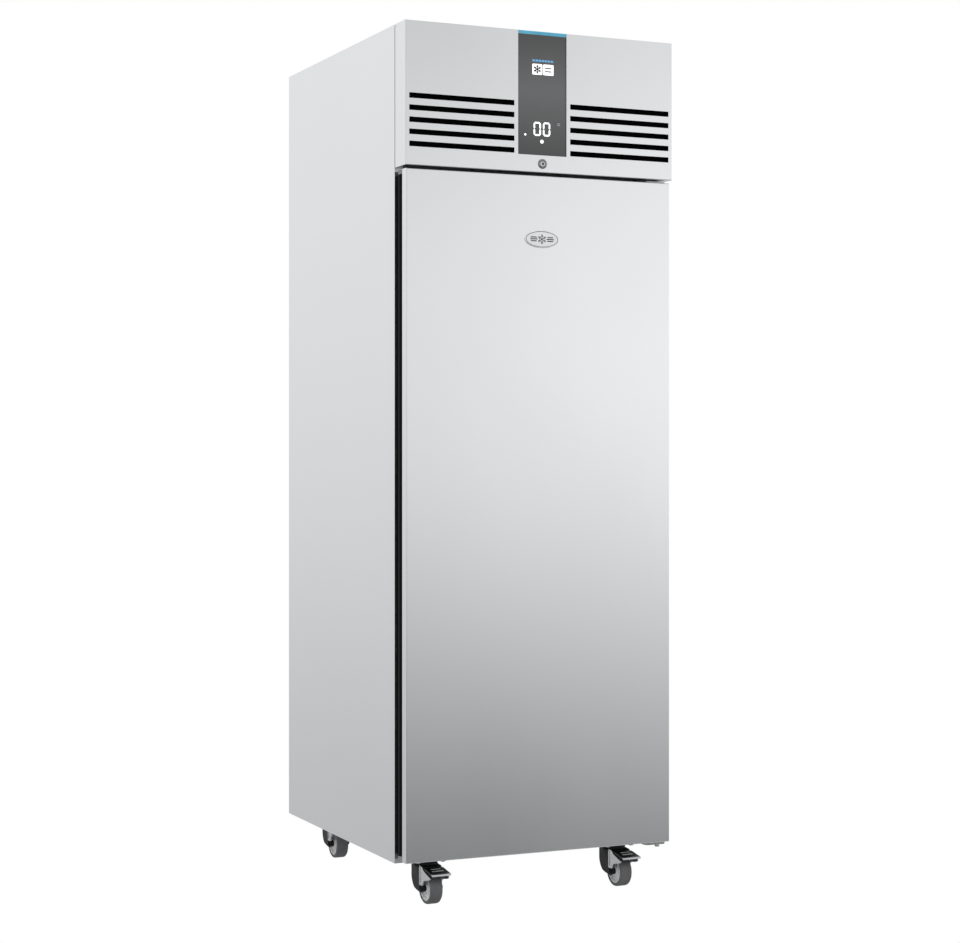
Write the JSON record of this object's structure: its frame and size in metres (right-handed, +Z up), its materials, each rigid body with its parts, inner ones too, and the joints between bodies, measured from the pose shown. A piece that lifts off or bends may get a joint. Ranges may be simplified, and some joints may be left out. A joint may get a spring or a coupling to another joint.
{
  "type": "upright refrigerator",
  "caption": "Upright reach-in refrigerator: insulated steel cabinet on braked castors, hinged door with full-height grip, lift-up louvred facia, cooling unit on top.",
  "frame": {"origin": "on the floor, under the middle of the footprint", "axes": "+X to the right seen from the front, +Y from the door to the back, +Z up"},
  "size_m": [0.7, 0.82, 2.058],
  "materials": {
    "case_steel": "satin",
    "facia_steel": "satin",
    "door_steel": "satin",
    "liner_steel": "satin",
    "galvanised": "satin",
    "foam": "matte",
    "frame_plastic": "matte",
    "handle_plastic": "satin",
    "cap_plastic": "matte",
    "gasket_rubber": "matte",
    "display_glass": "gloss",
    "light_strip": "gloss",
    "badge": "gloss",
    "plated_steel": "satin",
    "hinge_steel": "satin",
    "shelf_wire": "satin",
    "aluminium_fin": "satin",
    "compressor_paint": "satin",
    "black_plastic": "matte",
    "copper": "satin",
    "mount_rubber": "matte",
    "hub_plastic": "satin",
    "tyre_rubber": "matte"
  },
  "bodies": {
    "cabinet": {"outer_case": "case_steel", "base_panel": "galvanised", "cabinet_insulation": "foam", "inner_liner": "liner_steel", "front_frame": "frame_plastic", "top_cover": "galvanised", "rear_grille": "galvanised", "rack_uprights": "liner_steel", "shelf_slides": "liner_steel", "wire_shelves": "shelf_wire", "rear_air_duct": "liner_steel", "unit_tray": "galvanised", "condenser_coil": "aluminium_fin", "air_filter": "black_plastic", "fan_shroud": "galvanised", "condenser_fan_motor": "plated_steel", "compressor_mounts": "mount_rubber", "compressor": "compressor_paint", "evaporator_housing": "foam", "evaporator_coil": "aluminium_fin", "evaporator_fan_motor": "plated_steel", "pipework": "copper", "control_box": "black_plastic", "mains_gland": "black_plastic", "upper_hinge": "hinge_steel", "lower_hinge": "hinge_steel", "facia_hinge_pins": "plated_steel", "castor_plates": "plated_steel"},
    "condenser_fan_rotor": {"condenser_fan": "black_plastic"},
    "evaporator_fan_rotor": {"evaporator_fan": "black_plastic"},
    "facia": {"facia_panel": "facia_steel", "slot_baffles": "black_plastic", "display_panel": "display_glass", "display_light_strip": "light_strip", "display_controller": "black_plastic", "lock_housing": "plated_steel"},
    "lock": {"lock_barrel": "plated_steel", "lock_cam": "plated_steel"},
    "door": {"door_outer_skin": "door_steel", "door_insulation": "foam", "door_inner_liner": "liner_steel", "door_hinge_bushes": "black_plastic", "door_gasket": "gasket_rubber", "door_handle": "handle_plastic", "handle_end_caps": "cap_plastic", "door_badge": "badge"},
    "castor_front_left": {"castor_fork_front_left": "plated_steel"},
    "wheel_front_left": {"castor_hub_front_left": "hub_plastic", "castor_tyre_front_left": "tyre_rubber"},
    "pedal_front_left": {"brake_pedal_front_left": "plated_steel"},
    "castor_front_right": {"castor_fork_front_right": "plated_steel"},
    "wheel_front_right": {"castor_hub_front_right": "hub_plastic", "castor_tyre_front_right": "tyre_rubber"},
    "pedal_front_right": {"brake_pedal_front_right": "plated_steel"},
    "castor_rear_left": {"castor_fork_rear_left": "plated_steel"},
    "wheel_rear_left": {"castor_hub_rear_left": "hub_plastic", "castor_tyre_rear_left": "tyre_rubber"},
    "castor_rear_right": {"castor_fork_rear_right": "plated_steel"},
    "wheel_rear_right": {"castor_hub_rear_right": "hub_plastic", "castor_tyre_rear_right": "tyre_rubber"}
  },
  "joints": [
    {"name": "door_swing", "type": "hinge", "parent": "cabinet", "child": "door", "pos_m": [0.327, -0.375, 0.918], "axis": [0, 0, 1], "range_deg": [0, 110], "stiffness_Nm_per_rad": 1.2, "springref_deg": -11.46},
    {"name": "facia_lift", "type": "hinge", "parent": "cabinet", "child": "facia", "pos_m": [0, -0.351, 2.052], "axis": [-1, 0, 0], "range_deg": [0, 78]},
    {"name": "lock_turn", "type": "hinge", "parent": "facia", "child": "lock", "pos_m": [0, -0.398, 1.745], "axis": [0, 1, 0], "range_deg": [0, 90]},
    {"name": "condenser_fan_spin", "type": "hinge", "parent": "cabinet", "child": "condenser_fan_rotor", "pos_m": [-0.185, -0.269, 1.8515], "axis": [0, 1, 0], "continuous": true},
    {"name": "evaporator_fan_spin", "type": "hinge", "parent": "cabinet", "child": "evaporator_fan_rotor", "pos_m": [0, 0.171, 1.8425], "axis": [0, 1, 0], "continuous": true},
    {"name": "castor_swivel_front_left", "type": "hinge", "parent": "cabinet", "child": "castor_front_left", "pos_m": [-0.251, -0.293, 0.088], "axis": [0, 0, 1], "continuous": true},
    {"name": "wheel_spin_front_left", "type": "hinge", "parent": "castor_front_left", "child": "wheel_front_left", "pos_m": [-0.25006, -0.31998, 0.0375], "axis": [0.9994, 0.0349, 0], "continuous": true},
    {"name": "brake_pedal_press_front_left", "type": "hinge", "parent": "castor_front_left", "child": "pedal_front_left", "pos_m": [-0.24992, -0.32398, 0.0857], "axis": [0.9994, 0.0349, 0], "range_deg": [0, 8]},
    {"name": "castor_swivel_front_right", "type": "hinge", "parent": "cabinet", "child": "castor_front_right", "pos_m": [0.251, -0.293, 0.088], "axis": [0, 0, 1], "continuous": true},
    {"name": "wheel_spin_front_right", "type": "hinge", "parent": "castor_front_right", "child": "wheel_front_right", "pos_m": [0.25194, -0.31998, 0.0375], "axis": [0.9994, 0.0349, 0], "continuous": true},
    {"name": "brake_pedal_press_front_right", "type": "hinge", "parent": "castor_front_right", "child": "pedal_front_right", "pos_m": [0.25208, -0.32398, 0.0857], "axis": [0.9994, 0.0349, 0], "range_deg": [0, 8]},
    {"name": "castor_swivel_rear_left", "type": "hinge", "parent": "cabinet", "child": "castor_rear_left", "pos_m": [-0.251, 0.329, 0.088], "axis": [0, 0, 1], "continuous": true},
    {"name": "wheel_spin_rear_left", "type": "hinge", "parent": "castor_rear_left", "child": "wheel_rear_left", "pos_m": [-0.251, 0.302, 0.0375], "axis": [1, 0, 0], "continuous": true},
    {"name": "castor_swivel_rear_right", "type": "hinge", "parent": "cabinet", "child": "castor_rear_right", "pos_m": [0.251, 0.329, 0.088], "axis": [0, 0, 1], "continuous": true},
    {"name": "wheel_spin_rear_right", "type": "hinge", "parent": "castor_rear_right", "child": "wheel_rear_right", "pos_m": [0.251, 0.302, 0.0375], "axis": [1, 0, 0], "continuous": true}
  ]
}
